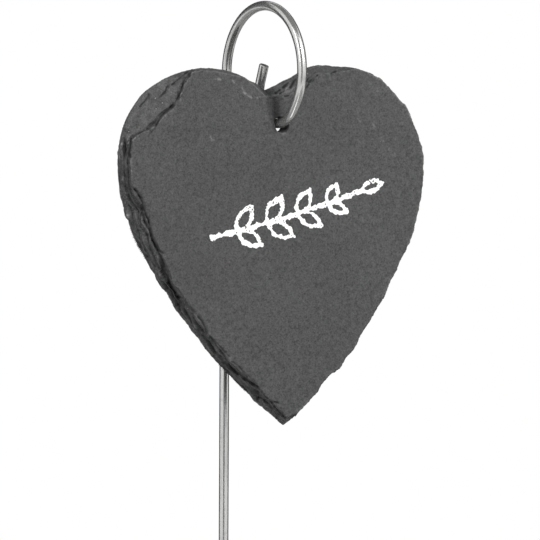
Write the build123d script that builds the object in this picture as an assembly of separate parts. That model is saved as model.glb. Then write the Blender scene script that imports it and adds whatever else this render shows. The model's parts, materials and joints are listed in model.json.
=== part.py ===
from build123d import *
import os
from math import cos, hypot, radians, sin, sqrt, tan

os.makedirs("parts", exist_ok=True)

# Plant label stake: a bent wire stake with a knapped slate heart hanging from its ring.
# Millimetres. The straight wire stands on Z, with its cut lower end at the origin.
# The heart's written face looks along -Y, and its right hand as seen from there is +X.

# The wire stake
stake_height = 280.0
wire_diameter = 2.5
ring_radius = 16.4
curl_radius = 8.05
stub_length = 4.4
end_break = 0.15
ring_turn = 220.0
curl_turn = 160.0
ring_slant = 13.2

# The slate heart
heart_width = 84.0
heart_height = 92.0
heart_thickness = 4.5
heart_reach = 7.85
hole_below_notch = 8.6
hole_play = 0.25
hole_drop = 0.35
hole_rim_break = 0.2

# The knapped edge
bevel_width = 4.1
back_rim_height = 0.9
back_rim_inset = 0.7
facet_length = 4.4
facet_depth = 0.28
facet_stagger_share = 0.28
scar_depth = 1.0
cut_overrun = 2.0

# The outline from the notch round the right lobe to the tip, as shares of the width to the right
# of the middle and of the height above the tip, with the front bevel as a share of its widest.
right_outline_shares = [
    (-0.017, 0.928, 0.62),
    (0.069, 0.967, 0.85),
    (0.161, 1.000, 0.50),
    (0.280, 0.993, 0.18),
    (0.392, 0.937, 0.16),
    (0.469, 0.839, 0.16),
    (0.500, 0.708, 0.18),
    (0.464, 0.526, 0.20),
    (0.391, 0.387, 0.20),
    (0.304, 0.254, 0.24),
    (0.224, 0.158, 0.20),
    (0.175, 0.118, 0.22),
    (0.104, 0.040, 0.20),
    (0.044, 0.000, 0.36),
]
# The same from the tip round the left lobe, back to the notch.
left_outline_shares = [
    (0.044, 0.000, 0.36),
    (-0.045, 0.067, 0.54),
    (-0.211, 0.217, 0.48),
    (-0.327, 0.350, 0.42),
    (-0.423, 0.483, 0.84),
    (-0.464, 0.560, 1.00),
    (-0.493, 0.650, 0.58),
    (-0.500, 0.737, 0.40),
    (-0.466, 0.861, 0.26),
    (-0.368, 0.949, 0.18),
    (-0.232, 0.987, 0.18),
    (-0.125, 0.977, 0.20),
    (-0.039, 0.943, 0.38),
    (-0.017, 0.928, 0.62),
]
# The inner border of the flake that has come off the front of the left lobe, top to side.
scar_border_shares = [
    (-0.271, 0.978),
    (-0.301, 0.938),
    (-0.318, 0.899),
    (-0.351, 0.869),
    (-0.377, 0.841),
    (-0.417, 0.815),
    (-0.452, 0.800),
    (-0.476, 0.783),
]

wire_radius = wire_diameter / 2
ring_centre_height = stake_height - ring_radius - wire_radius
notch_height = right_outline_shares[0][1] * heart_height

# The ring, curl and stub lie in one upright plane, which holds the straight wire too.
# Its first direction runs level from the straight wire to the front of the ring.
ring_direction = Vector(sin(radians(ring_slant)), -cos(radians(ring_slant)), 0)
ring_plane = Plane(
    origin=(0, 0, 0),
    x_dir=ring_direction,
    z_dir=ring_direction.cross(Vector(0, 0, 1)),
)


def wire_line():
    """The wire's centre line: straight up, over the ring, round the curl and up the stub."""
    curl_start = ring_turn - 180
    curl_offset = ring_radius - curl_radius
    curl_centre = (
        ring_radius + curl_offset * cos(radians(curl_start)),
        ring_centre_height - curl_offset * sin(radians(curl_start)),
    )
    with BuildLine(ring_plane) as line:
        Line((0, 0), (0, ring_centre_height))
        CenterArc((ring_radius, ring_centre_height), ring_radius, 180, -ring_turn)
        curl = CenterArc(curl_centre, curl_radius, -curl_start, -curl_turn)
        PolarLine(curl @ 1, stub_length, angle=-curl_start - curl_turn - 90)
    return line.wire()


def make_wire_stake(line):
    """One bent wire of round section, with the burr taken off both square cut ends."""
    section = Circle(wire_radius).face()
    wire = sweep(section, path=line)
    cut_ends = wire.faces().filter_by(GeomType.PLANE).edges()
    return chamfer(cut_ends, end_break)


# Where the heart hangs: its front face lies at heart_reach in front of the ring's centre.
front_depth = (ring_radius + heart_reach) * cos(radians(ring_slant))
back_depth = front_depth - heart_thickness


def wire_in_slate(samples=40):
    """The wire's passage through the slate, as (x, z, how level it runs) from face to face."""
    curl_start = radians(ring_turn - 180)
    curl_offset = ring_radius - curl_radius
    passage = []
    for count in range(samples + 1):
        depth = front_depth - heart_thickness * count / samples
        reach = depth / cos(radians(ring_slant)) - ring_radius
        if reach > ring_radius * cos(curl_start):
            centre_reach, centre_drop, radius = 0, 0, ring_radius
        else:
            centre_reach = curl_offset * cos(curl_start)
            centre_drop = curl_offset * sin(curl_start)
            radius = curl_radius
        level = sqrt(1 - ((reach - centre_reach) / radius) ** 2)
        height = ring_centre_height - centre_drop - radius * level
        passage.append((depth * tan(radians(ring_slant)), height, level))
    return passage


def hole_place_and_radius(passage):
    """A hole that clears the wire's slanted, curved passage, and hangs a little low on it."""
    across = [x for x, z, level in passage]
    upward = [z for x, z, level in passage]
    middle_x = (min(across) + max(across)) / 2
    middle_z = (min(upward) + max(upward)) / 2
    need = max(
        hypot(x - middle_x, z - middle_z) + wire_radius / (level * cos(radians(ring_slant)))
        for x, z, level in passage
    )
    return middle_x, middle_z - hole_drop, need + hole_play


def unevenness(count, phase):
    """A value between -1 and 1 that looks random from one facet to the next."""
    return 0.6 * sin(1.9 * count + phase) + 0.4 * sin(4.3 * count + 2 * phase)


def outline_points():
    """Corners of the knapped outline with each one's share of the bevel, as (x, z, share)."""
    corners = []
    for side, shares in enumerate((right_outline_shares, left_outline_shares)):
        marks = [(x * heart_width, z * heart_height) for x, z, bevel in shares]
        curve = Spline(*marks)
        stops = [curve.param_at_point(Vector(x, z, 0)) for x, z in marks]
        facets = round(curve.length / facet_length)
        for count in range(facets):
            stagger = facet_stagger_share * unevenness(count, side + 1) if count else 0
            spot = (count + stagger) / facets
            span = max(k for k, stop in enumerate(stops[:-1]) if stop <= spot)
            run = (spot - stops[span]) / (stops[span + 1] - stops[span])
            bevel = shares[span][2] * (1 - run) + shares[span + 1][2] * run
            place = curve @ spot
            corners.append((place.X, place.Y, bevel))
    return corners


def moved_inwards(corners, inset):
    """The outline moved in by inset(count, share) at each corner, square to its two edges."""
    moved = []
    for count, (x, z, share) in enumerate(corners):
        before = corners[count - 1]
        after = corners[(count + 1) % len(corners)]
        first = Vector(z - before[1], before[0] - x).normalized()
        second = Vector(after[1] - z, x - after[0]).normalized()
        inward = (first + second).normalized()
        step = inset(count, share) / inward.dot(first)
        moved.append((x + inward.X * step, z + inward.Y * step))
    return moved


def slate_section(points, depth):
    """An outline as a face, at a depth in front of the back of the slate."""
    outline = Polyline(*[(x, -depth, z) for x, z in points], close=True)
    return make_face(outline)


def make_slab():
    """The heart's slab: a narrow back rim, then the knapped bevel up to the smaller front face."""
    corners = outline_points()
    back = moved_inwards(corners, lambda count, share: back_rim_inset)
    rim = moved_inwards(corners, lambda count, share: facet_depth * unevenness(count, 3))
    front = moved_inwards(
        corners,
        lambda count, share: bevel_width * share + facet_depth * unevenness(count, 5),
    )
    sections = [
        slate_section(back, 0),
        slate_section(rim, back_rim_height),
        slate_section(front, heart_thickness),
    ]
    return loft(sections, ruled=True)


def make_scar_cutter():
    """The flake's own shape: as deep as the scar, and running out past the edge of the heart."""
    border = [(x * heart_width, z * heart_height) for x, z in scar_border_shares]
    outside = border[-1][0] - bevel_width - cut_overrun
    above = heart_height + cut_overrun
    border += [(outside, border[-1][1]), (outside, above), (border[0][0], above)]
    floor = slate_section(border, heart_thickness - scar_depth)
    return extrude(floor, amount=scar_depth + cut_overrun, dir=(0, -1, 0))


def make_hole_cutter(radius):
    """The drilled hole, with both of its rims broken a little."""
    depth = heart_thickness + 2 * cut_overrun
    drill = Cylinder(radius, depth, rotation=(90, 0, 0))
    rim = Cone(radius, radius + hole_rim_break + cut_overrun, hole_rim_break + cut_overrun)
    lift = heart_thickness / 2 - hole_rim_break + (hole_rim_break + cut_overrun) / 2
    front_rim = Pos(0, -lift, 0) * Rot(90, 0, 0) * rim
    back_rim = Pos(0, lift, 0) * Rot(-90, 0, 0) * rim
    return drill + front_rim + back_rim


def make_slate_heart(hole_x, hole_z, hole_radius):
    """The heart, drilled straight above its centre of mass so that it hangs level."""
    slab = make_slab() - make_scar_cutter()
    balance_x = slab.center(CenterOf.MASS).X
    hole_height = notch_height - hole_below_notch
    hole = Pos(balance_x, -heart_thickness / 2, hole_height) * make_hole_cutter(hole_radius)
    heart = slab - hole
    print(f"balance line at {balance_x:.2f} mm from the middle of the width")
    return Pos(hole_x - balance_x, -back_depth, hole_z - hole_height) * heart


centre_line = wire_line()
hole_x, hole_z, hole_radius = hole_place_and_radius(wire_in_slate())
parts = {
    "wire_stake": make_wire_stake(centre_line),
    "slate_heart": make_slate_heart(hole_x, hole_z, hole_radius),
}
for name, part in parts.items():
    export_step(part, f"parts/{name}.step")

print(f"hinge at x {hole_x:.4f}, y {-(front_depth + back_depth) / 2:.4f}, z {hole_z:.4f}")
print(f"hole radius {hole_radius:.3f}, straight wire {ring_centre_height:.2f}")
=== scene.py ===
import json
import math

import bpy
import numpy as np
from mathutils import Matrix, Vector, noise
from mathutils.bvhtree import BVHTree
from mathutils.kdtree import KDTree


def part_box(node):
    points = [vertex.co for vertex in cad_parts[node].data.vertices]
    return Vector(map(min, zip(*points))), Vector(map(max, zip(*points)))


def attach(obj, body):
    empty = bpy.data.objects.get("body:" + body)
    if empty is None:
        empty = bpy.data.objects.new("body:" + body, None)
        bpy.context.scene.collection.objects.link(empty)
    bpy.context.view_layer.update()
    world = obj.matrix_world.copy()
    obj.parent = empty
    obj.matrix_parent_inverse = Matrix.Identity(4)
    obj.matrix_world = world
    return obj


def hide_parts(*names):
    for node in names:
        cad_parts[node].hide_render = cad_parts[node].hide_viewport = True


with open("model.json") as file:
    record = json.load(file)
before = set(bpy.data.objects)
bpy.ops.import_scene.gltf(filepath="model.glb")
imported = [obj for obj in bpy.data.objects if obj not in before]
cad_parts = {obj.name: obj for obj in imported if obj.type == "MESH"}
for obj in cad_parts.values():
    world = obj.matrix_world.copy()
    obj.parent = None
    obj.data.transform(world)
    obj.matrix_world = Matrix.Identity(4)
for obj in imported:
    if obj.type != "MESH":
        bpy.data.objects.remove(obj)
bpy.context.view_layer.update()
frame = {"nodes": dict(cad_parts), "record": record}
stakeEnd = frame["record"]["mounts"][0]
heartSwing = frame["record"]["behaviour"]["joints"][0]
print("frame loaded:", sorted(frame["nodes"]))

mm = 0.001

# the photo, in its own pixels, and its camera
photo = {
    "pixels": 540,
    "pixelSize": 0.255 * mm,
    "ringX": 263.3,
    "ringY": 71.0,
    "azimuth": -23.0,       # the camera stands to the left of the heart's face
    "lean": 0.00425,        # the upright wire leans this much to the right going up
    "distance": 2.4,
    "sensor": 36,
}

wire = {
    "radius": stakeEnd["dims"]["r_mm"] * mm,
    "straight": stakeEnd["dims"]["length_mm"] * mm,
    "ringRadius": 16.4 * mm,
    "curlRadius": 8.05 * mm,
    "stub": 4.4 * mm,
    "ringTurn": 220.0,
    "curlTurn": 160.0,
    "slant": 13.2,
    "sides": 40,
    "stepAngle": 2.0,
    "endBreak": 0.15 * mm,
    "burr": 0.22 * mm,
    "cutSlope": 0.12 * mm,
    "straightSteps": 24,
    "stubSteps": 4,
    "pressed": (0.50 * mm, 0.25 * mm),  # the ring is off its circle by this at its back and front
    "raised": 0.28 * mm,
    "dustShadeReach": (2.6 * mm, 0.8 * mm),  # dust and painted shade round the hinge, and how softly they end
}


def towards(azimuth, elevation=0):
    # the way to a place at this azimuth and elevation in degrees, as for a view
    turn, lift = math.radians(azimuth), math.radians(elevation)
    level = math.cos(lift)
    return Vector((math.sin(turn) * level, -math.cos(turn) * level, math.sin(lift)))


hingeAt = Vector(heartSwing["pos_m"])
swing = heartSwing["range_deg"]
slantAngle = math.radians(wire["slant"])
ringOutward = towards(wire["slant"])
ringAxis = ringOutward.cross(Vector((0, 0, 1)))
ringCentre = ringOutward * wire["ringRadius"] + Vector((0, 0, wire["straight"]))
# the curl's centre, in front of the straight wire and below the ring's
curlStart = math.radians(wire["ringTurn"] - 180)
curlOffset = wire["ringRadius"] - wire["curlRadius"]
curlReach = wire["ringRadius"] + curlOffset * math.cos(curlStart)
curlDrop = curlOffset * math.sin(curlStart)

viewAngle = math.radians(photo["azimuth"])
viewRight = Vector((math.cos(viewAngle), math.sin(viewAngle), 0))
viewBack = towards(photo["azimuth"])


def fromPixel(x, y):
    # a photo pixel as lengths right of and above the ring's centre, with the lean taken out
    right = (x - photo["ringX"]) + photo["lean"] * (y - photo["ringY"])
    up = (photo["ringY"] - y) + photo["lean"] * (x - photo["ringX"])
    return right * photo["pixelSize"], up * photo["pixelSize"]


def smoothStep(values):
    values = np.clip(values, 0, 1)
    return values * values * (3 - 2 * values)


def deselectAll():
    bpy.ops.object.select_all(action="DESELECT")


def newest(name):
    # the object that was just added
    piece = bpy.context.object
    piece.name = name
    return piece


def selectOnly(piece):
    deselectAll()
    piece.select_set(True)
    bpy.context.view_layer.objects.active = piece


def setMode(mode):
    bpy.ops.object.mode_set(mode=mode)


def editAll():
    setMode("EDIT")
    bpy.ops.mesh.select_all(action="SELECT")


def turnOutwards(smoothAngle):
    # faces point outwards, and edges flatter than the angle look smooth
    editAll()
    bpy.ops.mesh.normals_make_consistent(inside=False)
    setMode("OBJECT")
    bpy.ops.object.shade_smooth_by_angle(angle=math.radians(smoothAngle))


def applyModifier(piece, kind, **settings):
    selectOnly(piece)
    modifier = piece.modifiers.new(kind.lower(), kind)
    for name, value in settings.items():
        setattr(modifier, name, value)
    bpy.ops.object.modifier_apply(modifier=modifier.name)


def setPoints(piece, points):
    piece.data.vertices.foreach_set("co", points.ravel())
    piece.data.update()


def storeValues(piece, name, values, kind="FLOAT", field="value"):
    stored = piece.data.attributes.new(name, kind, "POINT")
    stored.data.foreach_set(field, values.astype(np.float32).ravel())


# camera
middle = photo["pixels"] / 2
right, up = fromPixel(middle, middle)
aim = ringCentre + viewRight * right + Vector((0, 0, up))
bpy.ops.object.camera_add(location=aim + viewBack * photo["distance"])
camera = bpy.context.object
axisX = (viewRight + Vector((0, 0, photo["lean"]))).normalized()
axisY = viewBack.cross(axisX)
turned = Matrix((axisX, axisY, viewBack)).transposed().to_4x4()
camera.matrix_world = Matrix.Translation(camera.location) @ turned
camera.data.sensor_width = photo["sensor"]
camera.data.lens = photo["sensor"] * photo["distance"] / (photo["pixels"] * photo["pixelSize"])
bpy.context.scene.camera = camera
bpy.context.scene.view_settings.view_transform = "Standard"
print("camera placed, lens", round(camera.data.lens))


# shader helpers
def addNode(tree, kind, **settings):
    made = tree.nodes.new(kind)
    row, column = divmod(len(tree.nodes) - 1, 6)
    made.location = (220 * column, -320 * row)
    for name, value in settings.items():
        setattr(made, name, value)
    return made


def feed(tree, node, inputs):
    # each input, by its name or number, takes a plain value or what another node puts out
    for key, value in inputs.items():
        if isinstance(value, (int, float, tuple)):
            node.inputs[key].default_value = value
        else:
            tree.links.new(value, node.inputs[key])


def addMath(tree, operation, *values):
    made = addNode(tree, "ShaderNodeMath", operation=operation)
    feed(tree, made, dict(enumerate(values)))
    return made.outputs[0]


def addRange(tree, value, low, high, toLow=0.0, toHigh=1.0):
    made = addNode(tree, "ShaderNodeMapRange")
    feed(tree, made, dict(enumerate((value, low, high, toLow, toHigh))))
    return made.outputs[0]


def addMix(tree, share, first, second):
    made = addNode(tree, "ShaderNodeMix", data_type="RGBA")
    feed(tree, made, {0: share, 6: first, 7: second})
    return made.outputs[2]


def addNoise(tree, vector, scale, detail=3.0, roughness=0.55):
    made = addNode(tree, "ShaderNodeTexNoise")
    feed(tree, made, {"Vector": vector, "Scale": scale, "Detail": detail, "Roughness": roughness})
    return made.outputs[0]


def addAttribute(tree, name, output="Fac"):
    return addNode(tree, "ShaderNodeAttribute", attribute_name=name).outputs[output]


def addOutput(tree, shader, kind="Material"):
    out = addNode(tree, "ShaderNodeOutput" + kind)
    feed(tree, out, {"Surface": shader.outputs[0]})


def addRays(tree, *kinds):
    # 1 for rays of these kinds, and 0 for the others
    path = addNode(tree, "ShaderNodeLightPath")
    seen = path.outputs[kinds[0]]
    for kind in kinds[1:]:
        seen = addMath(tree, "MAXIMUM", seen, path.outputs[kind])
    return seen


def newMaterial(name):
    material = bpy.data.materials.new(name)
    material.use_nodes = True
    material.node_tree.nodes.clear()
    return material, material.node_tree


# world, lamps, floor and cards
studio = {
    "ambient": 0.165,
    "aimBelowRing": 40 * mm,
    "floorRadius": 3.0,
    "floorColour": (0.86, 0.86, 0.855, 1),
    "floorLit": 0.55,           # the share of its own light in what the camera sees of it
    "cardDistance": 0.95,
    "cardRise": 0.3,
    # azimuth, elevation, distance, width, height, watts, and whether the wire mirrors it
    "softboxes": {
        "keySoftbox": (24, 32, 0.7, 0.16, 0.16, 5.5, True),
        "fillSoftbox": (-90, 16, 1.2, 0.8, 0.9, 5.0, False),
        "shineSoftbox": (-64, 28, 1.0, 0.24, 0.6, 1.5, True),
        "backSoftbox": (165, 30, 1.3, 0.9, 0.9, 3.6, False),
    },
    # how far round from the camera, width, height, grey, level if it lies flat, and how far ahead
    "cards": {
        "cameraFlag": (0, 0.5, 1.5, 0.05, None, 0),
        "leftFlag": (-138, 1.45, 1.5, 0.05, None, 0),
        "rightFlag": (138, 1.45, 1.5, 0.05, None, 0),
        "ceilingFlag": (0, 1.7, 1.5, 0.16, 1.3, 0),
        "floorFlag": (0, 0.9, 0.9, 0.36, 0.002, 0),
        "floorGlow": (0, 0.06, 0.36, 2.0, 0.004, 0.26),
    },
}


def buildWorld():
    world = bpy.data.worlds.new("studio")
    bpy.context.scene.world = world
    world.use_nodes = True
    tree = world.node_tree
    tree.nodes.clear()
    seen = addRays(tree, "Is Camera Ray", "Is Glossy Ray", "Is Transmission Ray")
    level = addRange(tree, seen, 0.0, 1.0, studio["ambient"])
    sky = addNode(tree, "ShaderNodeBackground")
    feed(tree, sky, {"Color": (1, 1, 1, 1), "Strength": level})
    addOutput(tree, sky, "World")


def addSoftbox(name, azimuth, elevation, distance, width, height, watts, shiny):
    toLamp = towards(azimuth, elevation)
    target = ringCentre - Vector((0, 0, studio["aimBelowRing"]))
    bpy.ops.object.light_add(type="AREA", location=target + toLamp * distance)
    lamp = newest(name)
    lamp.data.shape = "RECTANGLE"
    lamp.data.size, lamp.data.size_y = width, height
    lamp.data.energy = watts
    lamp.visible_glossy = shiny
    lamp.rotation_euler = toLamp.to_track_quat("Z", "Y").to_euler()


def addCard(name, around, width, height, grey, level, ahead):
    # a card that only polished metal mirrors
    toCard = towards(photo["azimuth"] + around)
    if level is None:
        place = toCard * studio["cardDistance"] + Vector((0, 0, height * studio["cardRise"]))
        facing = toCard.to_track_quat("Z", "Y").to_euler()
    else:
        place = toCard * ahead + Vector((0, 0, level))
        facing = (0, 0, math.radians(photo["azimuth"] + around))
    bpy.ops.mesh.primitive_plane_add(size=1, location=place)
    card = newest(name)
    card.scale = (width, height, 1)
    card.rotation_euler = facing
    bpy.ops.object.transform_apply(location=True, rotation=True, scale=True)
    for rays in ("camera", "diffuse", "transmission", "shadow"):
        setattr(card, "visible_" + rays, False)
    material, tree = newMaterial(name + "Cloth")
    cloth = addNode(tree, "ShaderNodeEmission")
    feed(tree, cloth, {"Color": (grey, grey, grey, 1)})
    addOutput(tree, cloth)
    card.data.materials.append(material)


def buildFloor():
    deselectAll()
    bpy.ops.mesh.primitive_circle_add(vertices=128, radius=studio["floorRadius"], fill_type="NGON")
    floor = newest("studioFloor")
    material, tree = newMaterial("paleFloor")
    paper = addNode(tree, "ShaderNodeBsdfDiffuse")
    feed(tree, paper, {"Color": studio["floorColour"]})
    lit = addNode(tree, "ShaderNodeEmission")
    seen = addRays(tree, "Is Camera Ray", "Is Glossy Ray")
    share = addMath(tree, "MULTIPLY", seen, studio["floorLit"])
    both = addNode(tree, "ShaderNodeMixShader")
    feed(tree, both, {0: share, 1: paper.outputs[0], 2: lit.outputs[0]})
    addOutput(tree, both)
    floor.data.materials.append(material)


buildWorld()
buildFloor()
for name, facts in studio["softboxes"].items():
    addSoftbox(name, *facts)
for name, facts in studio["cards"].items():
    addCard(name, *facts)
print("studio lit")


# finishes
def buildGrain():
    # fine mineral grain, a value about 0.5, and sparse specks
    tree = bpy.data.node_groups.new("mineralGrain", "ShaderNodeTree")
    for name, way, kind in (
        ("Vector", "INPUT", "Vector"), ("Size", "INPUT", "Float"), ("Specks", "INPUT", "Float"),
        ("Grain", "OUTPUT", "Float"), ("Specks", "OUTPUT", "Float"),
    ):
        tree.interface.new_socket(name=name, in_out=way, socket_type="NodeSocket" + kind)
    given = addNode(tree, "NodeGroupInput").outputs
    scaled = addNode(tree, "ShaderNodeVectorMath", operation="SCALE")
    feed(tree, scaled, {0: given["Vector"], "Scale": given["Size"]})
    place = scaled.outputs[0]
    fine = addNoise(tree, place, 2.4, 4.0, 0.75)
    coarse = addNoise(tree, place, 0.8, 3.0, 0.6)
    fine = addMath(tree, "MULTIPLY", fine, 0.75)
    grain = addMath(tree, "ADD", addMath(tree, "MULTIPLY", coarse, 0.25), fine)
    cells = addNode(tree, "ShaderNodeTexVoronoi")
    feed(tree, cells, {"Vector": place, "Scale": 0.42})
    size = addMath(tree, "MULTIPLY", cells.outputs["Color"], given["Specks"])
    micaGlint = addMath(tree, "LESS_THAN", cells.outputs["Distance"], size)
    out = addNode(tree, "NodeGroupOutput")
    feed(tree, out, {"Grain": grain, "Specks": micaGlint})
    return tree


mineralGrain = buildGrain()


def addGrain(tree, vector, size, specks):
    made = addNode(tree, "ShaderNodeGroup", node_tree=mineralGrain)
    feed(tree, made, {"Vector": vector, "Size": size, "Specks": specks})
    return made.outputs


def addMillimetres(tree, attribute=None, scale=(1, 1, 1)):
    if attribute:
        source = addAttribute(tree, attribute, "Vector")
    else:
        source = addNode(tree, "ShaderNodeTexCoord").outputs["Object"]
    mapping = addNode(tree, "ShaderNodeMapping")
    feed(tree, mapping, {"Vector": source, "Scale": tuple(s / mm for s in scale)})
    return mapping.outputs[0]


def addSurface(tree, finish, colour, roughness, height):
    bump = addNode(tree, "ShaderNodeBump")
    feed(tree, bump, {"Height": height, "Distance": finish["bump"]})
    shader = addNode(tree, "ShaderNodeBsdfPrincipled")
    feed(tree, shader, finish["fixed"])
    feed(tree, shader, {"Base Color": colour, "Roughness": roughness, "Normal": bump.outputs[0]})
    addOutput(tree, shader)


slateFinish = {
    "colour": (0.0598, 0.0598, 0.0602, 1),
    "freshBreakAndLight": (0.150, 0.150, 0.149, 1),
    "creviceShade": (0.014, 0.014, 0.015, 1),
    # pale specks painted as glints of mica
    "micaGlint": (0.32, 0.32, 0.315, 1),
    "specks": 0.078,
    # the colour is multiplied by these, from the low end of a pattern to the high end
    "grainTone": (0.40, 1.60),
    "cloudTone": (0.94, 1.06),
    "patchTone": (0.96, 1.04),
    "bedTone": (0.70, 1.60),
    "bedScale": (0.22, 2.6, 0.22),
    "roughness": (0.68, 0.86),
    "fixed": {"Specular IOR Level": 0.22},
    "bump": 0.05 * mm,
}


def slateMaterial():
    material, tree = newMaterial("splitSlate")
    place = addMillimetres(tree)
    minerals = addGrain(tree, place, 1.0, slateFinish["specks"])
    grain = minerals["Grain"]
    tone = addRange(tree, grain, 0.35, 0.65, *slateFinish["grainTone"])
    for scale, detail, tones in ((0.07, 4.0, "cloudTone"), (0.45, 3.0, "patchTone")):
        pattern = addNoise(tree, place, scale, detail)
        pattern = addRange(tree, pattern, 0.3, 0.7, *slateFinish[tones])
        tone = addMath(tree, "MULTIPLY", tone, pattern)
    # the beds of the slate show as fine lines where it is broken
    bedPlace = addMillimetres(tree, scale=slateFinish["bedScale"])
    beds = addNoise(tree, bedPlace, 1.0, 3.0, 0.7)
    bedTone = addRange(tree, beds, 0.34, 0.66, *slateFinish["bedTone"])
    broken = addAttribute(tree, "broken")
    bedTone = addMix(tree, broken, (1, 1, 1, 1), bedTone)
    # what stands out is worn pale, pale marks add painted light, and what lies deep gets painted
    # shade
    relief = addAttribute(tree, "relief")
    wearAndLight = addRange(tree, relief, -0.12, -0.75)
    paintedShade = addRange(tree, relief, 0.14, 1.0)
    colour = addMix(tree, wearAndLight, slateFinish["colour"], slateFinish["freshBreakAndLight"])
    toned = addNode(tree, "ShaderNodeVectorMath", operation="SCALE")
    feed(tree, toned, {0: colour, "Scale": addMath(tree, "MULTIPLY", tone, bedTone)})
    colour = addMix(tree, paintedShade, toned.outputs[0], slateFinish["creviceShade"])
    # pale specks painted as glints of mica
    colour = addMix(tree, minerals["Specks"], colour, slateFinish["micaGlint"])
    roughness = addRange(tree, grain, 0.3, 0.7, *slateFinish["roughness"])
    addSurface(tree, slateFinish, colour, roughness, grain)
    return material


steelFinish = {
    "colour": (0.65, 0.65, 0.64, 1),
    "drawMark": (0.50, 0.50, 0.50, 1),
    "tarnish": (0.44, 0.44, 0.435, 1),
    "shadedDust": (0.24, 0.24, 0.24, 1),
    "drawnRoughness": (0.16, 0.27),
    "dustRoughness": 0.7,
    "fixed": {"Metallic": 0.9, "Specular Tint": (0.3, 0.3, 0.3, 1)},
    "bump": 0.007 * mm,
}


def steelMaterial():
    material, tree = newMaterial("drawnSteel")
    streakPlace = addMillimetres(tree, "unrolled", (1, 1, 0.035))
    place = addMillimetres(tree, "unrolled")
    streaks = addNoise(tree, streakPlace, 2.6, 4.0, 0.65)
    blotches = addNoise(tree, place, 0.55, 4.0, 0.6)
    grain = addGrain(tree, place, 0.8, 0.05)["Grain"]
    marks = addRange(tree, streaks, 0.50, 0.68)
    dull = addRange(tree, blotches, 0.56, 0.80)
    dustAndShade = addAttribute(tree, "dustAndShade")
    colour = addMix(tree, marks, steelFinish["colour"], steelFinish["drawMark"])
    colour = addMix(tree, dull, colour, steelFinish["tarnish"])
    # the wire darkens inside the hole as painted shade, and the dust there roughens it
    colour = addMix(tree, dustAndShade, colour, steelFinish["shadedDust"])
    drawn = addRange(tree, streaks, 0.35, 0.7, *steelFinish["drawnRoughness"])
    clean = addMath(tree, "MULTIPLY_ADD", dull, 0.10, drawn)
    dusted = addMath(tree, "MULTIPLY", dustAndShade, steelFinish["dustRoughness"])
    roughness = addMath(tree, "MAXIMUM", clean, dusted)
    height = addMath(tree, "ADD", streaks, addMath(tree, "MULTIPLY", grain, 0.12))
    addSurface(tree, steelFinish, colour, roughness, height)
    return material


chalkFinish = {
    "colour": (0.90, 0.90, 0.885, 1),
    "thin": (0.66, 0.66, 0.65, 1),
    "roughness": (0.88, 0.97),
    "fixed": {"Specular IOR Level": 0.2},
    "bump": 0.05 * mm,
}


def chalkMaterial():
    material, tree = newMaterial("chalk")
    grain = addGrain(tree, addMillimetres(tree), 1.3, 0.0)["Grain"]
    thin = addRange(tree, grain, 0.40, 0.27)
    colour = addMix(tree, thin, chalkFinish["colour"], chalkFinish["thin"])
    roughness = addRange(tree, grain, 0.3, 0.7, *chalkFinish["roughness"])
    addSurface(tree, chalkFinish, colour, roughness, grain)
    return material


# wire stake
def extrudeBy(step):
    bpy.ops.mesh.extrude_region_move(TRANSFORM_OT_translate={"value": step})


def scaleEnd(factor, centre):
    bpy.ops.transform.resize(value=(factor, factor, factor), center_override=centre)


def bendBy(turn, centre):
    steps = round(turn / wire["stepAngle"])
    bpy.ops.mesh.spin(steps=steps, angle=math.radians(turn), center=centre, axis=ringAxis)


def wireSections(piece):
    # the wire's points, section by section, and the middle of each
    points = np.array([v.co for v in piece.data.vertices]).reshape(-1, wire["sides"], 3)
    return points, points.mean(1)


def handBend(piece):
    # the ring was bent by hand, so it is a little narrower and taller than a circle
    points, centres = wireSections(piece)
    front = smoothStep((centres @ np.array(ringOutward)) / (2 * wire["ringRadius"]))
    rise = centres[:, 2] - wire["straight"]
    # the bend fades out down the straight wire and stops where the curl starts
    onRing = np.where(front > 0, smoothStep(rise / (8 * mm) + 1.3), 1)
    onRing *= smoothStep(rise / (25 * mm) + 1.2)
    ringEnd = 2 + wire["straightSteps"] + round(wire["ringTurn"] / wire["stepAngle"])
    onRing[ringEnd:] = 0
    back, fore = wire["pressed"]
    points += np.outer(onRing * (back * (1 - front) + fore * front), ringOutward)[:, None]
    points[:, :, 2] += (onRing * wire["raised"] * smoothStep(rise / wire["ringRadius"]))[:, None]
    setPoints(piece, points)


def unrollWire(piece):
    # where each point would lie if the wire were pulled straight: across, sideways, along
    points, centres = wireSections(piece)
    along = np.concatenate([[0], np.cumsum(np.linalg.norm(np.diff(centres, axis=0), axis=1))])
    tangents = np.gradient(centres, along + np.arange(len(along)) * 1e-9, axis=0)
    sideways = np.array(ringAxis)
    outward = np.cross(sideways, tangents)
    outward /= np.linalg.norm(outward, axis=1)[:, None]
    offset = points - centres[:, None]
    flat = np.stack([
        np.einsum("ijk,ik->ij", offset, outward),
        offset @ sideways,
        np.repeat(along[:, None], wire["sides"], 1),
    ], -1)
    storeValues(piece, "unrolled", flat, "FLOAT_VECTOR", "vector")
    # round the hinge, inside the hole, the wire gets painted shade along with the dust's roughness
    fromHinge = np.linalg.norm(points - np.array(hingeAt), axis=2).ravel()
    reach, soft = wire["dustShadeReach"]
    storeValues(piece, "dustAndShade", smoothStep((reach - fromHinge) / soft))


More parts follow.
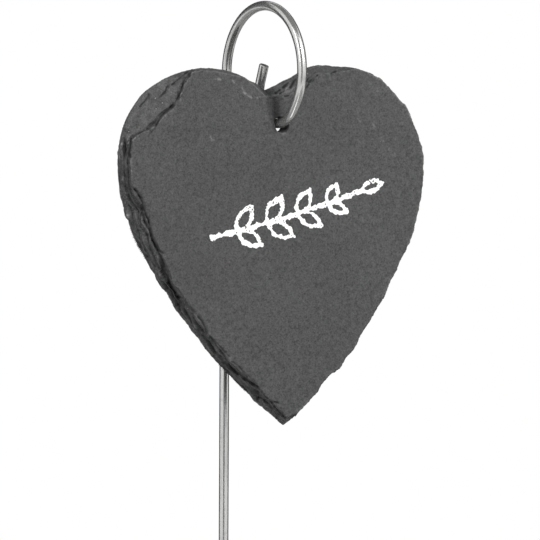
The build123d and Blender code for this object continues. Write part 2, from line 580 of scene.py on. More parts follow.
def buildWire():
    deselectAll()
    inner = 1 - wire["endBreak"] / wire["radius"]
    bpy.ops.mesh.primitive_circle_add(
        vertices=wire["sides"], radius=wire["radius"] * inner, fill_type="NGON", location=(0, 0, 0)
    )
    piece = newest("drawnWire")
    editAll()
    extrudeBy((0, 0, wire["endBreak"]))
    scaleEnd(1 / inner, (0, 0, wire["endBreak"]))
    for count in range(wire["straightSteps"]):
        extrudeBy((0, 0, (wire["straight"] - wire["endBreak"]) / wire["straightSteps"]))
    bendBy(wire["ringTurn"], ringCentre)
    # the curl is tighter and starts where the ring stops, so both centres are on one radius
    curlCentre = ringOutward * curlReach + Vector((0, 0, wire["straight"] - curlDrop))
    bendBy(wire["curlTurn"], curlCentre)
    endAngle = math.radians(180 - wire["ringTurn"] - wire["curlTurn"])
    way = ringOutward * math.sin(endAngle) + Vector((0, 0, -math.cos(endAngle)))
    curlEnd = ringOutward * math.cos(endAngle) + Vector((0, 0, math.sin(endAngle)))
    tipCentre = curlCentre + curlEnd * wire["curlRadius"] + way * wire["stub"]
    for count in range(wire["stubSteps"]):
        extrudeBy(way * (wire["stub"] - wire["endBreak"]) / wire["stubSteps"])
    extrudeBy(way * wire["endBreak"])
    scaleEnd(inner, tipCentre)
    setMode("OBJECT")

    # the cutters left a small burr, bent over on the side away from the straight wire
    burrWay = (viewRight - way * viewRight.dot(way)).normalized()
    for v in piece.data.vertices:
        fromTip = v.co - tipCentre
        if fromTip.dot(way) > -0.6 * wire["endBreak"] and fromTip.length < 1.2 * wire["radius"]:
            across = fromTip.dot(burrWay) / wire["radius"]
            v.co += (burrWay * 0.9 - way * 0.4) * wire["burr"] * max(0, across) ** 3
            v.co -= way * wire["cutSlope"] * across
    handBend(piece)
    unrollWire(piece)
    turnOutwards(smoothAngle=35)
    return piece


drawnWire = buildWire()
drawnWire.data.materials.append(steelMaterial())
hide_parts("wire_stake")
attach(drawnWire, "stake")
print("wire bent:", len(drawnWire.data.polygons), "faces")

# slate heart
slate = {
    "voxel": 0.22 * mm,
    "triangles": 190000,
    "thickness": 4.5 * mm,
    "face": 4.45 * mm,          # what lies above this height is the front face
    "rimHeight": 0.9 * mm,      # the slab is widest here, measured from its back
    "rimInset": 0.7 * mm,
    "bedTops": (0.45 * mm, 0.9 * mm, 1.7 * mm, 2.5 * mm, 3.5 * mm, 4.6 * mm),   # where it splits
    "upright": (0.72, 0.72, 0.40, 0.30, 0.45, 0.85),    # how far each bed's edge stands up
    "undercut": 0.25 * mm,      # how far the bed under the front one has broken back
    "outlineSteps": 1100,
    "probe": 0.12,              # the bevel's width is measured in these steps, in mm
    "probes": 45,
    "dressed": (30 * mm, 0.95, 0.12 * mm),  # how softly the dressed side begins, share, loss
    "corner": 6 * mm,
    "lobe": 8.0 * mm,
    "lobeSize": (0.10 * mm, 0.24),  # the least, and how it grows with the bevel
    "fade": 2.5 * mm,
    "rimFade": 7 * mm,
    "nudge": 0.25 * mm,         # it hangs a little to the right of its balance
    "edgeBand": 0.8 * mm,       # broken slate is grainy this far past the bevel
    "relief": 0.27 * mm,        # full wear and painted light, or full painted shade, in the relief attribute
    "seed": 41.0,
    # layers of noise: size in mm, seed, height in mm
    "bedding": (14, 41.0, 0.3),
    "strata": (0.5, 33.0, 0.22),
    "faceWaves": ((13, 3.1, 0.10), (4, 8.2, 0.035)),
    "backWaves": ((10, 14.4, 0.14), (3, 9.9, 0.05)),
    "edgeGrain": ((0.9, 21.0, 0.085), (0.45, 27.0, 0.05)),
    "markWobble": ((1.1, 5.5, 0.22), (0.5, 5.9, 0.10)),
}

# the hole as it shows at its front and back, right of and above the hinge and its radius in mm
holeShape = {
    "front": (0.85, -0.57, 1.80),
    "back": (0.25, -0.50, 1.75),
    "room": (0.10 * mm, 0.05 * mm),     # round the wire as it swings, at both faces and halfway
    "swings": 13,               # places of the heart's swing that it clears
    "stations": 5,
    "fade": 2.0 * mm,
    "chip": 0.08 * mm,
}

# where the edge is rubbed smooth: photo pixels, and how far that reaches
calmSpots = [((290, 84), 15 * mm), ((222, 72), 12 * mm), ((160, 86), 24 * mm), ((336, 72), 12 * mm)]

# where the outline leaves the slab's: photo pixel, mm outwards, reach along it in mm
edgeShifts = [
    (160, 80, -0.2, 9), (120, 198, 0.35, 3), (135, 241, 0.15, 4), (157, 282, -0.1, 4),
    (168, 298, -0.45, 4), (206, 350, 0.4, 7), (313, 67, 0.45, 2.6), (325, 64, -0.1, 3),
    (400, 100, -0.2, 5), (419, 140, -0.2, 4), (420, 203, -0.25, 4), (400, 260, -0.5, 4),
    (395.5, 272.5, 0.25, 1.6), (390.5, 282, -0.25, 2.0), (355.5, 346.5, 0.3, 1.7),
    (347.5, 355, -0.45, 1.8), (338.5, 369.5, 0.4, 1.3), (328, 377, -0.25, 2.0),
    (371, 318, 0.2, 6), (280, 84, -0.4, 3), (245, 77, 0.2, 1.2), (252, 82, -0.45, 2.6),
    (126, 216, -0.95, 2.0), (147, 91, 0.3, 3), (151.5, 272, 0.3, 1.5),
    (174.5, 306, -0.35, 3), (204, 346, -0.4, 2.6), (337, 64, -0.65, 3.5),
    (384, 80, 0.35, 1.8), (398, 95, -0.3, 1.5), (407, 106, 0.3, 1.8),
    (421.5, 150.5, 0.5, 1.8), (418, 209, -0.3, 2.2), (412.5, 230, 0.25, 3),
    (377, 310, -0.6, 1.8), (361.5, 332, -0.3, 2.6), (316.5, 392, 0.45, 1.3),
    (304, 406, -0.3, 1.8),
]
# the outline keeps its corners here
sharpCorners = [(265, 90), (283, 424)]

# cracks, crevices, slivers and scrapes: how deep and how wide in mm, how dark it looks (painted
# shade; less than 0 is pale, and the broad pale places are painted light), and its line in photo
# pixels
marks = [
    # the border of the flake that came off the left lobe
    (0.2, 0.22, 1.0, (195, 69), (189.7, 74.9), (184.2, 82.1), (182.2, 90.1)),
    (0.3, 0.34, 1.0, (182.2, 90.1), (178.6, 98.1), (175.4, 104.4), (169, 110.8), (161, 118),
     (154.7, 124.4), (148.3, 130.8)),
    (0.15, 0.18, 0.75, (148.3, 130.8), (141.9, 133.9), (136.3, 136.3), (132.3, 137.9),
     (129.9, 141.1), (129.1, 143.5)),
    (0.18, 0.18, 0.9, (187, 90.1), (184.5, 94), (181.8, 98.1), (178.6, 101.2)),
    (0.3, 0.28, 1.0, (161, 118), (158.6, 124.4), (155.5, 130), (152.3, 133.2), (149.1, 137.1)),
    (0.2, 0.4, 0.9, (172.5, 108), (168, 112.5), (163, 116)),
    (0.15, 0.14, 0.8, (184.5, 79), (180.5, 88), (178, 96)),
    (0.2, 0.16, 0.95, (178.2, 101.5), (175.5, 106.5), (171, 111.5)),
    (0.2, 0.22, 0.85, (168, 110), (160.5, 116), (153, 124), (147.5, 129)),
    (0.12, 0.16, 0.7, (141, 134.5), (137, 135.6), (134.5, 139)),
    # cracks and pale chips in its floor
    (0.25, 0.22, 1.0, (192.9, 70.2), (185.8, 74.9), (180.2, 79.7), (172.2, 86.1)),
    (0.3, 0.3, 1.0, (169, 87.3), (167.4, 88.1), (166.5, 92.5), (163, 96), (158.6, 100)),
    (0.14, 0.2, 0.8, (157, 101.5), (152.3, 104.4)),
    (0.2, 0.26, 1.0, (149.9, 95.7), (146.5, 101.5), (141.1, 107.6)),
    (0.0, 0.2, -0.5, (180.8, 99), (182.6, 103)), (0.0, 0.16, -0.8, (166, 116.2), (167.2, 118)),
    # between the front bed and the rim, down the left side
    (0.45, 0.34, 1.8, (132.3, 140.5), (131.6, 147), (130.7, 154.7), (131.5, 158)),
    # a broad pale stripe of painted light over the band
    (0.0, 1.1, -0.42, (122.5, 127), (120.6, 140), (119.4, 156)),
    (0.15, 0.5, 0.4, (126, 140), (127.5, 150), (128.3, 160), (128.8, 170), (129, 182)),
    (0.1, 0.3, 0.35, (120, 160), (121.5, 172), (121, 180)),
    (0.15, 0.4, 0.5, (124, 184), (128, 187), (133, 190)),
    (0.15, 0.45, 0.4, (131, 186), (134, 192), (139, 203), (143, 212)),
    (0.7, 0.36, 1.0, (136.4, 190.4), (141.8, 198.4), (145.4, 210), (149.8, 220.7), (152.5, 233.2),
     (155.2, 240.4), (159.6, 249.3), (163.2, 252.9)),
    (0.2, 0.42, 0.5, (134.6, 199.3), (141.8, 210), (146.3, 222.5), (149.8, 235), (154.3, 242.1)),
    (0.6, 0.36, 0.95, (158.3, 252.9), (161.4, 261.8), (165, 270.7), (168.6, 276), (172.1, 284.1),
     (179.3, 296.6)),
    (0.2, 0.34, 0.5, (134.2, 222.5), (136, 230.5), (140.9, 238.6), (145.4, 245.7), (148, 252.9),
     (153.4, 258.2), (157.9, 267.1)),
    (0.15, 0.2, 0.5, (130, 196), (131.5, 202)),
    (0.2, 0.3, 0.4, (153, 262), (157, 268), (163, 278)),
    (0.0, 0.18, -1.0, (128.2, 216.6), (128.8, 217.6)),
    # the same down to the tip, with nested shells
    (0.5, 0.3, 1.0, (170, 281), (176, 290), (181, 297.6)),
    (0.3, 0.5, 0.5, (172, 288), (180, 298), (186, 305)),
    (0.5, 0.38, 0.85, (186.3, 303.7), (194, 311), (202.7, 321), (207.8, 332.2)),
    (0.4, 0.55, 0.6, (180, 303), (188, 314), (196, 324), (200, 331)),
    (0.2, 0.2, 0.6, (200.5, 322), (204, 329), (203.5, 336)),
    (0.2, 0.2, 0.6, (197, 325), (200.5, 331), (200, 338)),
    (0.3, 0.5, 0.6, (205, 338), (212, 346), (216, 352)),
    (0.35, 0.22, 0.95, (210.8, 336.3), (219, 344.5), (229.2, 355.7)),
    (0.2, 0.18, 0.6, (214, 350), (220, 349.5), (225, 355), (227, 361)),
    (0.2, 0.18, 0.55, (215, 355), (220, 355), (223, 361)),
    (0.3, 0.18, 0.85, (231.2, 360.8), (239.4, 365.9), (244.5, 373.1), (247.6, 376.1)),
    (0.5, 0.4, 0.95, (224, 362), (233.3, 368), (241.4, 375.1), (254.7, 384.3)),
    (0.3, 0.3, 0.6, (245, 385), (252, 391), (260, 396)),
    (0.35, 0.24, 0.9, (258.8, 396.5), (268, 400.6), (278.2, 402.7)),
    (0.3, 0.28, 0.8, (272, 410.8), (279, 414), (285.3, 416.9)),
    # painted shade: a broad dark band down the lower-left bevel
    (0.0, 1.1, 0.36, (178, 300), (198, 328), (222, 358), (250, 388), (276, 409)),
    # painted light: the scar's floor and the upper right drawn paler
    (0.0, 7.0, -0.29, (133, 122), (150, 104), (170, 86)),
    (0.0, 12.0, -0.16, (335, 92), (372, 98), (398, 122)),
    # slivers and scrapes on the face
    (0.1, 0.16, 0.6, (260, 384.5), (265, 386)),
    (0.14, 0.18, 0.3, (327, 371), (332, 369.5), (338, 370.5)),
    (0.04, 0.12, 0.1, (206, 139), (212, 138.5), (216, 140)),
    (0.0, 0.22, -0.7, (373, 123.5), (384, 141.5)), (0.0, 0.2, -0.6, (389, 148.5), (395.5, 156.5)),
    (0.0, 0.24, -0.45, (368, 81), (381, 92)), (0.0, 0.2, -0.8, (358, 119), (361, 120)),
    (0.0, 0.26, -1.0, (211, 138), (213.8, 142)),
    # round the notch
    (0.14, 0.26, 1.8, (276, 93.2), (279.6, 90.5)), (0.1, 0.22, 1.5, (279.5, 94.2), (284, 91.5)),
    (0.16, 0.28, 1.8, (283, 87.8), (288, 83.4)), (0.14, 0.26, 1.8, (290.4, 87.5), (295.2, 79.8)),
    (0.06, 0.2, 1.2, (284.5, 96.5), (289, 96)), (0.14, 0.26, 2.0, (306.4, 87.4), (309, 84.4)),
    (0.18, 0.28, 2.0, (309.5, 82.4), (313.5, 78)), (0.14, 0.26, 2.0, (312.5, 81.6), (317.2, 75.6)),
    (0.1, 0.24, 1.5, (331, 73.4), (335, 71.8)), (0.1, 0.22, 1.2, (303.5, 83.5), (309.5, 77.5)),
    # the pale lines along the notch's lower edge and flank are painted light
    (0.0, 0.3, -0.55, (272, 97), (281, 93.6), (290, 91.2), (294, 88)),
    (0.0, 0.22, -0.6, (285, 91), (290, 84)), (0.0, 0.22, -0.7, (308, 86), (314, 80)),
    (0.0, 0.28, -0.7, (256.9, 98.1), (265, 97.2), (273.5, 95.8)),
    (0.05, 0.3, -0.6, (241.6, 86.1), (244, 93), (251.3, 98.1)),
    (0.0, 0.34, -0.8, (216, 80.2), (220, 80.4)), (0.0, 0.26, -0.6, (232.5, 81.5), (235.5, 85)),
    (0.03, 0.2, -0.5, (213.3, 80), (219.8, 81.5)), (0.0, 0.3, -0.4, (283, 133.5), (287, 134.5)),
]

scar = {
    # its border, from the edge beside it round to the top
    "border": ((116, 147.5), (128, 143), (137, 136), (148, 130.5), (160, 121), (168, 111),
               (178, 100), (183, 86), (192, 71.6), (196, 66)),
    "floor": 3.5 * mm,          # above the back, where it starts at the border
    "edge": 1.1 * mm,           # and where it runs out
    "below": 3.9 * mm,          # whatever is higher belongs to the face
    "band": 2.5 * mm,
    "ragged": 0.32 * mm,
    "rough": (3.5, 91.0, 0.16),
}


def frontPoint(x, y):
    # where a photo pixel falls on the heart's front face
    right, up = fromPixel(x, y)
    toCentre = ringCentre.dot(viewRight)
    return (right + toCentre - frontY * viewRight.y) / viewRight.x, ringCentre.z + up


def frontLine(pixels):
    return np.array([frontPoint(x, y) for x, y in pixels])


def asSeen(points):
    # each point slid along the camera's line of sight onto the front face
    slid = (points[:, 1] - frontY) * viewRight.y / viewRight.x
    return np.stack([points[:, 0] + slid, points[:, 2]], 1)


def fromLine(flat, pixels):
    # distance to a drawn line, given in photo pixels
    line = frontLine(pixels)
    best = np.full(len(flat), 1.0)
    for start, end in zip(line[:-1], line[1:]):
        along = end - start
        share = np.clip(((flat - start) @ along) / (along @ along), 0, 1)
        gap = flat - start - share[:, None] * along
        best = np.minimum(best, np.hypot(*gap.T))
    return best


def fromSpot(steps, pixel):
    return np.hypot(*(steps - frontPoint(*pixel)).T)


def noiseAt(points, size, seed):
    scale = 1 / size
    offset = Vector((seed, seed * 0.7, -seed))
    return np.array([noise.noise(Vector(p) * scale + offset) for p in points])


def layered(points, *layers):
    # noise of several sizes added up
    return sum(noiseAt(points, size * mm, seed) * height * mm for size, seed, height in layers)


def surfaceTree(piece):
    return BVHTree.FromPolygons(
        [v.co for v in piece.data.vertices], [p.vertices[:] for p in piece.data.polygons]
    )


def surfaceDepth(tree, x, z):
    # where the slate starts behind a place in front of it
    hit = tree.ray_cast(Vector((x, frontY - mm, z)), Vector((0, 1, 0)))[0]
    return hit.y if hit else backY


def copySlab():
    deselectAll()
    piece = bpy.data.objects.new("knappedHeart", frame["nodes"]["slate_heart"].data.copy())
    bpy.context.collection.objects.link(piece)
    selectOnly(piece)
    editAll()
    bpy.ops.mesh.remove_doubles(threshold=0.001 * mm)
    setMode("OBJECT")
    return piece


def readOutline(piece):
    # the slab's widest outline as evenly spaced steps, with the way inwards and the bevel's width
    corners = np.array([(v.co.x, v.co.z) for v in piece.data.vertices
                        if abs(backY - v.co.y - slate["rimHeight"]) < 0.01 * mm])
    corners = corners[np.argsort(np.arctan2(*(corners - corners.mean(0)).T[::-1]))]
    loop = np.vstack([corners, corners[:1]])
    run = np.concatenate([[0], np.cumsum(np.hypot(*np.diff(loop, axis=0).T))])
    stops = np.arange(slate["outlineSteps"]) * run[-1] / slate["outlineSteps"]
    steps = np.stack([np.interp(stops, run, column) for column in loop.T], 1)
    inward = np.roll(steps, -1, 0) - np.roll(steps, 1, 0)
    inward = np.stack([-inward[:, 1], inward[:, 0]], 1)
    inward = sum(np.roll(inward, shift, 0) for shift in range(-5, 6))
    inward /= np.hypot(*inward.T)[:, None]
    # the bevel ends where a probe moving inwards stops climbing
    tree = surfaceTree(piece)
    bevel = np.zeros(len(steps))
    for count, (spot, way) in enumerate(zip(steps, inward)):
        last = None
        for away in np.arange(1, slate["probes"]) * slate["probe"] * mm:
            depth = surfaceDepth(tree, *(spot + way * away))
            bevel[count] = away
            if last is not None and last - depth < 0.002 * mm and depth < backY - 3 * mm:
                break
            last = depth
    return steps, inward, bevel


def shiftRim(steps, inward):
    # the dressed side's facets are rubbed off, and the rim moves to where the photo has it
    soft, share, loss = slate["dressed"]
    dressed = smoothStep(0.5 - (steps[:, 0] - steps[:, 0].mean()) / soft) * share
    rounded = sum(np.roll(steps, shift, 0) for shift in range(-24, 25)) / 49
    rimShift = np.einsum("ij,ij->i", rounded - steps, inward) * dressed - loss * dressed
    for pixel in sharpCorners:
        rimShift *= 1 - np.exp(-(fromSpot(steps, pixel) / slate["corner"]) ** 2)
    for x, y, outward, reach in edgeShifts:
        rimShift -= outward * mm * np.exp(-(fromSpot(steps, (x, y)) / (reach * mm)) ** 2)
    return dressed, rimShift


def breakBeds(steps, bevel, dressed, calm):
    # how far each bed has broken back, or stands out, at each step of the outline
    spots = np.insert(steps, 1, 0, axis=1)
    least, growth = slate["lobeSize"]
    lobeSize = least + growth * bevel
    top = len(slate["bedTops"]) - 1
    breaks = []
    for bed in range(top + 1):
        seed = slate["seed"] + 13.7 * bed
        lobes = noiseAt(spots, slate["lobe"], seed) + 0.35
        lobes -= 1.3 * np.abs(noiseAt(spots, 0.6 * slate["lobe"], seed + 5))
        lobes *= lobeSize * (0.4 if bed <= rimBed or bed == top else 1.0) * 1.3 * (1 - 0.9 * calm)
        rough = layered(spots, (2.2, seed + 3, 0.20), (0.7, seed + 7, 0.12))
        if bed <= rimBed:
            lobes *= 1 - 0.9 * dressed
            rough *= 1 - dressed
        if bed == top - 1:
            bites = smoothStep(noiseAt(spots, 16 * mm, 77.0) * 2.5 + 0.7)
            rough += slate["undercut"] * bites * (1 - calm) * bevel / bevel.max()
        breaks.append(lobes + rough)
    return np.array(breaks), layered(spots, slate["bedding"])


def splitEdges(points, steps, inward, bevel):
    # every bed of the slate breaks back to its own ragged line
    tree = KDTree(len(steps))
    for count, (x, z) in enumerate(steps):
        tree.insert((x, 0, z), count)
    tree.balance()
    nearest = np.array([tree.find((x, 0, z))[1] for x, y, z in points])
    height = backY - points[:, 1]
    away = np.einsum("ij,ij->i", points[:, [0, 2]] - steps[nearest], inward[nearest])
    calm = np.zeros(len(steps))
    for pixel, reach in calmSpots:
        calm = np.maximum(calm, smoothStep(1.6 - 1.6 * fromSpot(steps, pixel) / reach))
    dressed, rimShift = shiftRim(steps, inward)
    breaks, bedding = breakBeds(steps, bevel, dressed, calm)
    bevel = bevel[nearest]
    calm = calm[nearest]

    # which bed each point is in, and how far that bed's edge stands up out of the bevel
    tops = np.array(slate["bedTops"])
    top = len(tops) - 1
    held = np.minimum(height, slate["face"])
    wavy = held + bedding[nearest] * (held < slate["face"] - 0.15 * mm)
    bed = np.clip(np.searchsorted(tops, wavy), 0, top)
    bottoms = np.concatenate([[0], tops[:-1]])
    lift = np.clip((bed - rimBed) / (top - rimBed), 0, 1)
    anchor = bottoms[bed] * (1 - lift) + np.minimum(tops[bed], slate["thickness"]) * lift
    aboveRim = height - slate["rimHeight"]
    slope = np.where(aboveRim > 0, bevel / (slate["thickness"] - slate["rimHeight"]), 0)
    upright = np.array(slate["upright"])[bed] * (1 - 0.95 * calm)
    shift = (anchor - height) * slope * upright + breaks[bed, nearest]
    strata = layered(points * (0.1, 1, 0.1), slate["strata"])
    shift += strata * smoothStep(aboveRim / (0.4 * mm)) * (1 - 0.6 * calm)
    inside = away - np.where(aboveRim > 0, bevel, slate["rimInset"])
    shift *= smoothStep(1 - inside / slate["fade"])
    shift += rimShift[nearest] * smoothStep(1.2 - away / slate["rimFade"])
    moved = points.copy()
    moved[:, [0, 2]] += inward[nearest] * shift[:, None]
    return moved, away, inside, height, calm


def openScar(points, away, height):
    # the lost flake left a ragged border, and its floor slopes down to the edge
    border = frontLine(scar["border"])
    gap = fromLine(points[:, [0, 2]], scar["border"])
    near = (gap < scar["band"]) & (height > 2 * mm)
    warp = smoothStep(1 - gap[near] / scar["band"]) * scar["ragged"]
    opened = points.copy()
    for axis, seed in ((0, 81.0), (2, 87.0)):
        ragged = noiseAt(points[near], 2.4 * mm, seed) * 1.4
        ragged += noiseAt(points[near], 0.9 * mm, seed + 3)
        opened[near, axis] += ragged * warp
    x, z = points[:, 0], points[:, 2]
    lost = (x < border[-1, 0]) & (z > np.interp(x, *border.T)) & (height < scar["below"])
    share = (gap / (gap + np.maximum(away, 0) + 0.1 * mm))[lost]
    floor = scar["floor"] - (scar["floor"] - scar["edge"]) * share ** 1.6
    rough = layered(points[lost], scar["rough"]) * smoothStep(share * 6)
    opened[lost, 1] = np.maximum(points[lost, 1], backY - floor + rough)
    return opened


def carveFace(points, inside, height):
    # the riven face has gentle waves, then come the marks
    spots = points * (1, 0, 1)
    onFace = smoothStep((height - 3.0 * mm) / (0.4 * mm)) * smoothStep(inside / (0.8 * mm) + 1)
    carved = points.copy()
    waves = layered(spots, *slate["faceWaves"])
    carved[:, 1] += waves * smoothStep(inside / (2 * mm)) * onFace
    seen = asSeen(points)
    shade = np.zeros(len(points))
    frontSide = smoothStep((height - 0.6 * mm) / (0.5 * mm))
    for depth, width, dark, *line in marks:
        corners = frontLine(line)
        reach = 3 * width * mm
        near = np.all((seen > corners.min(0) - reach) & (seen < corners.max(0) + reach), 1)
        away = fromLine(seen[near], line) + layered(spots[near], *slate["markWobble"])
        broken = smoothStep(noiseAt(spots[near], 2.0 * mm, 6.1) * 1.8 + 0.85)
        profile = np.exp(-(away / (width * mm)) ** 2) * (0.45 + 0.55 * broken)
        carved[near, 1] += depth * mm * profile * frontSide[near]
        # dark marks paint shade along their cracks; pale marks are scrapes and chips, and painted
        # light where they are broad
        stronger = np.abs(profile * dark) > np.abs(shade[near])
        shade[near] = np.where(stronger, profile * dark, shade[near])
    # the back is riven too, a little more coarsely
    onBack = smoothStep((0.5 * mm - height) / (0.4 * mm)) * smoothStep(inside / (2 * mm))
    carved[:, 1] -= (layered(spots, *slate["backWaves"]) + 0.02 * mm) * onBack
    return carved, shade * frontSide


def wireInSlate(y):
    # the wire's centre from the hinge at a depth in the slate, and its half height there
    reach = -y / math.cos(slantAngle)
    level = math.sqrt(1 - ((reach - curlReach) / wire["curlRadius"]) ** 2)
    z = wire["straight"] - curlDrop - wire["curlRadius"] * level
    return reach * math.sin(slantAngle) - hingeAt.x, z - hingeAt.z, wire["radius"] / level


def holeWall(ways, share):
    # from the hinge out to the hole's wall: the hole that shows, and room for the wire's swing
    x, z, half = wireInSlate(frontY + (backY - frontY) * share)
    room, waistRoom = holeShape["room"]
    half += waistRoom + (room - waistRoom) * abs(2 * share - 1)
    front, back = np.array(holeShape["front"]), np.array(holeShape["back"])
    circles = [(front * (1 - share) + back * share) * mm]
    for turn in np.radians(np.linspace(*swing, holeShape["swings"])):
        for angle in (turn, -turn):
            c, s = math.cos(angle), math.sin(angle)
            circles.append((x * c + z * s, z * c - x * s, half))
    reach = 0
    for x, z, radius in circles:
        along = ways @ (x, z)
        reach = np.maximum(reach, along + np.sqrt(along ** 2 + radius ** 2 - x * x - z * z))
    return reach


def shapeHole(points, bored):
    # the bored wall moves out or in to the real hole's shape, and its rims get small chips
    flat = points[:, [0, 2]] - (hingeAt.x, hingeAt.z)
    away = np.hypot(*flat.T)
    near = away < bored + holeShape["fade"]
    ways = flat[near] / np.maximum(away[near], 0.01 * mm)[:, None]
    last = holeShape["stations"] - 1
    depth = np.clip((points[near, 1] - frontY) / (backY - frontY), 0, 1) * last
    walls = np.array([holeWall(ways, station / last) for station in range(last + 1)])
    above = np.minimum(depth.astype(int), last - 1)
    share = depth - above
    rows = np.arange(near.sum())
    wall = walls[above, rows] * (1 - share) + walls[above + 1, rows] * share
    atRim = np.abs(2 * depth / last - 1) ** 3
    wall += np.abs(noiseAt(points[near], 0.8 * mm, 51.0)) * holeShape["chip"] * atRim
    grow = (wall - bored) * smoothStep(1 - (away[near] - bored) / holeShape["fade"])
    shaped = points.copy()
    shaped[near, 0] += ways[:, 0] * grow
    shaped[near, 2] += ways[:, 1] * grow
    shaped[:, 0] += slate["nudge"] * smoothStep((away - 4 * mm) / (14 * mm))
    return shaped


def meshArrays(piece):
    mesh = piece.data
    points = np.empty(len(mesh.vertices) * 3)
    mesh.vertices.foreach_get("co", points)
    normals = np.empty(len(mesh.vertices) * 3, np.float32)
    mesh.vertices.foreach_get("normal", normals)
    return points.reshape(-1, 3), normals.reshape(-1, 3)


def reliefOf(piece, rounds):
    # how far each point stands out of (-) or lies under (+) the skin smoothed around it
    points, normals = meshArrays(piece)
    ends = np.empty(len(piece.data.edges) * 2, np.int32)
    piece.data.edges.foreach_get("vertices", ends)
    a, b = ends.reshape(-1, 2).T
    count = len(points)
    links = np.bincount(ends, minlength=count)
    smooth = points.copy()
    for turn in range(rounds):
        total = np.stack([
            np.bincount(a, column[b], count) + np.bincount(b, column[a], count)
            for column in smooth.T
        ], 1)
        smooth = 0.4 * smooth + 0.6 * total / links[:, None]
    return np.einsum("ij,ij->i", smooth - points, normals)


def buildHeart():
    piece = copySlab()
    bored = min(math.hypot(v.co.x - hingeAt.x, v.co.z - hingeAt.z) for v in piece.data.vertices)
    steps, inward, bevel = readOutline(piece)
    print("outline read, bevel", round(bevel.min() / mm, 2), "to", round(bevel.max() / mm, 2), "mm")
    applyModifier(piece, "REMESH", mode="VOXEL", voxel_size=slate["voxel"])
    points, normals = meshArrays(piece)
    moved, away, inside, height, calm = splitEdges(points, steps, inward, bevel)
    moved = shapeHole(moved, bored)
    moved = openScar(moved, away, height)
    moved, shade = carveFace(moved, inside, backY - moved[:, 1])
    setPoints(piece, moved)
    points, normals = meshArrays(piece)
    edgeBand = smoothStep(1 - inside / slate["edgeBand"]) * (1 - 0.8 * calm)
    points += normals * (layered(points, *slate["edgeGrain"]) * edgeBand)[:, None]
    setPoints(piece, points)
    # the relief attribute paints wear on ridges, painted shade in hollows and along cracks, and
    # painted light in the marks' pale places
    relief = np.clip(reliefOf(piece, 8) / slate["relief"], -1, 1)
    relief = np.where(shade < 0, np.minimum(relief, shade), np.maximum(relief, shade))
    storeValues(piece, "relief", relief)
    storeValues(piece, "broken", edgeBand)
    applyModifier(piece, "DECIMATE", ratio=slate["triangles"] / (2 * len(piece.data.polygons)))
    bpy.ops.object.shade_smooth_by_angle(angle=math.radians(40))
    return piece


heartLow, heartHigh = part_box("slate_heart")
frontY = heartLow[1]
backY = heartHigh[1]
rimBed = slate["bedTops"].index(slate["rimHeight"])
knappedHeart = buildHeart()
knappedHeart.data.materials.clear()
knappedHeart.data.materials.append(slateMaterial())
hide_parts("slate_heart")
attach(knappedHeart, "heart")
print("heart knapped:", len(knappedHeart.data.polygons), "faces")

# a sprig drawn on the slate in chalk
chalk = {
    "left": 206, "right": 386, "top": 168, "bottom": 256,   # photo pixels
    "cell": 0.16 * mm,
    "thickness": 0.06 * mm,
    "stem": ((212, 238), (238, 231.5), (266, 223.5), (294, 215), (322, 205.5), (348, 195.5),
             (362, 190)),
    "stemWidth": 2.5,           # half the stroke, in pixels
    "leafWidth": 2.0,
    "leafSide": 0.24,           # how far each side of a leaf bulges, as a share of its length
    "leafAngle": 46.0,
    "pairs": ((0.17, 28), (0.37, 29), (0.57, 26), (0.77, 21)),  # place on the stem, length
    "endLeaf": 22,
    "skips": 0.58,              # the chalk misses the slate's grain above this
}


def leafStrokes(base, ahead, turn, length):
    # both sides of a leaf that starts at a base and leaves the way ahead by an angle
    heading = math.atan2(-ahead[1], ahead[0]) + math.radians(turn)
    along = np.array((math.cos(heading), -math.sin(heading)))
    across = np.array((along[1], -along[0]))
    shares = np.linspace(0, 1, 12)
    bulge = chalk["leafSide"] * length * np.sin(math.pi * shares ** 0.85)
    middle = base + np.outer(shares * length, along)
    return [(middle + np.outer(side * bulge, across), chalk["leafWidth"]) for side in (-1, 1)]


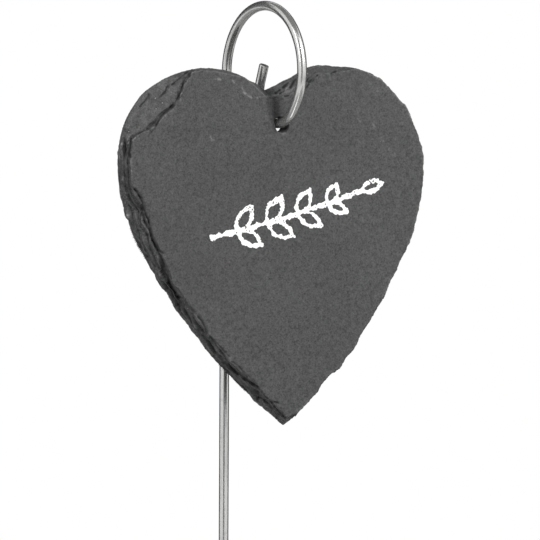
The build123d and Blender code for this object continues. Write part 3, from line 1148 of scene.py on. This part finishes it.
def sprigStrokes():
    # lines in photo pixels, each with half its width
    stem = np.array(chalk["stem"], float)
    runs = np.concatenate([[0], np.cumsum(np.hypot(*np.diff(stem, axis=0).T))])
    strokes = [(stem, chalk["stemWidth"])]
    for place, length in chalk["pairs"]:
        base, ahead = (
            np.array([np.interp(run, runs, column) for column in stem.T])
            for run in (place * runs[-1], place * runs[-1] + 4)
        )
        for side in (-1, 1):
            strokes += leafStrokes(base, ahead - base, side * chalk["leafAngle"], length)
    return strokes + leafStrokes(stem[-1], stem[-1] - stem[-2], 0, chalk["endLeaf"])


def buildSprig():
    left, bottom = frontPoint(chalk["left"], chalk["bottom"])
    right, top = frontPoint(chalk["right"], chalk["top"])
    deselectAll()
    bpy.ops.mesh.primitive_grid_add(
        x_subdivisions=round((right - left) / chalk["cell"]),
        y_subdivisions=round((top - bottom) / chalk["cell"]),
        size=1, location=((left + right) / 2, frontY, (bottom + top) / 2),
        rotation=(math.pi / 2, 0, 0),
    )
    piece = newest("chalkSprig")
    piece.scale = (right - left, top - bottom, 1)
    bpy.ops.object.transform_apply(location=True, rotation=True, scale=True)
    centres = np.array([p.center for p in piece.data.polygons])
    ragged = 1 + noiseAt(centres, 1.3 * mm, 61.0) * 0.75 + noiseAt(centres, 0.45 * mm, 67.0) * 0.5
    kept = np.zeros(len(centres), bool)
    for stroke, width in sprigStrokes():
        half = width * photo["pixelSize"] / viewRight.x * ragged
        kept |= fromLine(centres[:, [0, 2]], stroke) < half
    grain = noiseAt(centres, 0.36 * mm, 71.0) + 0.5 * noiseAt(centres, 2.2 * mm, 73.0)
    kept &= grain < chalk["skips"]
    setMode("EDIT")
    bpy.ops.mesh.select_mode(type="FACE")
    bpy.ops.mesh.select_all(action="DESELECT")
    setMode("OBJECT")
    piece.data.polygons.foreach_set("select", ~kept)
    setMode("EDIT")
    bpy.ops.mesh.delete(type="FACE")
    bpy.ops.mesh.select_mode(type="VERT")
    bpy.ops.mesh.select_all(action="SELECT")
    bpy.ops.mesh.vertices_smooth(factor=0.5, repeat=2)
    setMode("OBJECT")
    applyModifier(piece, "SOLIDIFY", thickness=chalk["thickness"], offset=0)
    tree = surfaceTree(knappedHeart)
    for v in piece.data.vertices:
        v.co.y += surfaceDepth(tree, v.co.x, v.co.z) - frontY - 0.3 * chalk["thickness"]
    turnOutwards(smoothAngle=40)
    return piece


chalkSprig = buildSprig()
chalkSprig.data.materials.append(chalkMaterial())
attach(chalkSprig, "heart")
print("sprig drawn:", len(chalkSprig.data.polygons), "faces")
